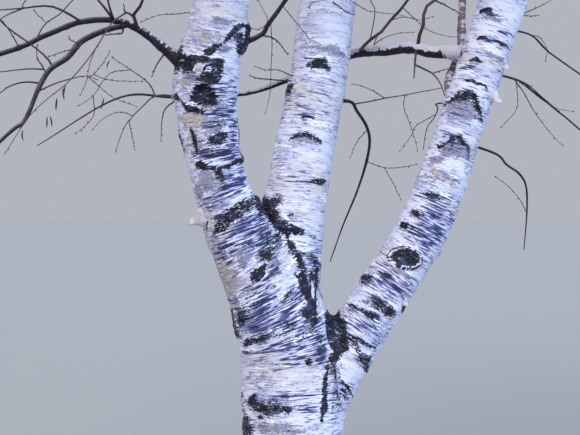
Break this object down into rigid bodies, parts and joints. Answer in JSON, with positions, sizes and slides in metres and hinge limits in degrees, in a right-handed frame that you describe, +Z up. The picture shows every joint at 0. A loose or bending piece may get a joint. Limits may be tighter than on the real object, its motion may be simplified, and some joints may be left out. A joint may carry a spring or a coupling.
{
  "type": "white birch tree",
  "caption": "Bare white birch, rooted in the ground: a short trunk with a root flare forks into upright white stems, with thin dark boughs out to the crown's edge.",
  "frame": {"origin": "middle of the trunk's flat cut at ground level", "axes": "+Z up, +X to the right of someone who faces the fork as the picture does, +Y away from them"},
  "size_m": [6.2682, 5.2723, 12.2001],
  "materials": {
    "white_bark": "matt papery white birch bark with black scars",
    "dark_bark": "thin smooth purple-brown bark of boughs and twigs"
  },
  "bodies": {
    "root": {"trunk": "white_bark", "stem_left": "white_bark", "stem_middle": "white_bark", "stem_right": "white_bark", "bough_left_low": "dark_bark", "bough_left_low_fork": "dark_bark", "bough_left_inner": "dark_bark", "bough_behind_stems": "dark_bark", "bough_right_upright": "dark_bark", "bough_middle_hanging": "dark_bark", "bough_right_lower": "dark_bark", "bough_right_low": "dark_bark", "bough_right_high": "dark_bark", "bough_left_01": "dark_bark", "bough_left_02": "dark_bark", "bough_left_03": "dark_bark", "bough_left_04": "dark_bark", "bough_left_05": "dark_bark", "bough_left_06": "dark_bark", "bough_left_07": "dark_bark", "bough_left_08": "dark_bark", "bough_left_09": "dark_bark", "bough_left_10": "dark_bark", "bough_left_11": "dark_bark", "bough_left_12": "dark_bark", "bough_left_13": "dark_bark", "bough_left_14": "dark_bark", "bough_left_15": "dark_bark", "bough_left_16": "dark_bark", "bough_middle_01": "dark_bark", "bough_middle_02": "dark_bark", "bough_middle_03": "dark_bark", "bough_middle_04": "dark_bark", "bough_middle_05": "dark_bark", "bough_middle_06": "dark_bark", "bough_middle_07": "dark_bark", "bough_middle_08": "dark_bark", "bough_middle_09": "dark_bark", "bough_middle_10": "dark_bark", "bough_middle_11": "dark_bark", "bough_middle_12": "dark_bark", "bough_middle_13": "dark_bark", "bough_middle_14": "dark_bark", "bough_middle_15": "dark_bark", "bough_middle_16": "dark_bark", "bough_middle_17": "dark_bark", "bough_right_01": "dark_bark", "bough_right_02": "dark_bark", "bough_right_03": "dark_bark", "bough_right_04": "dark_bark", "bough_right_05": "dark_bark", "bough_right_06": "dark_bark", "bough_right_07": "dark_bark", "bough_right_08": "dark_bark", "bough_right_09": "dark_bark", "bough_right_10": "dark_bark", "bough_right_11": "dark_bark", "bough_right_12": "dark_bark", "bough_right_13": "dark_bark"}
  },
  "joints": []
}
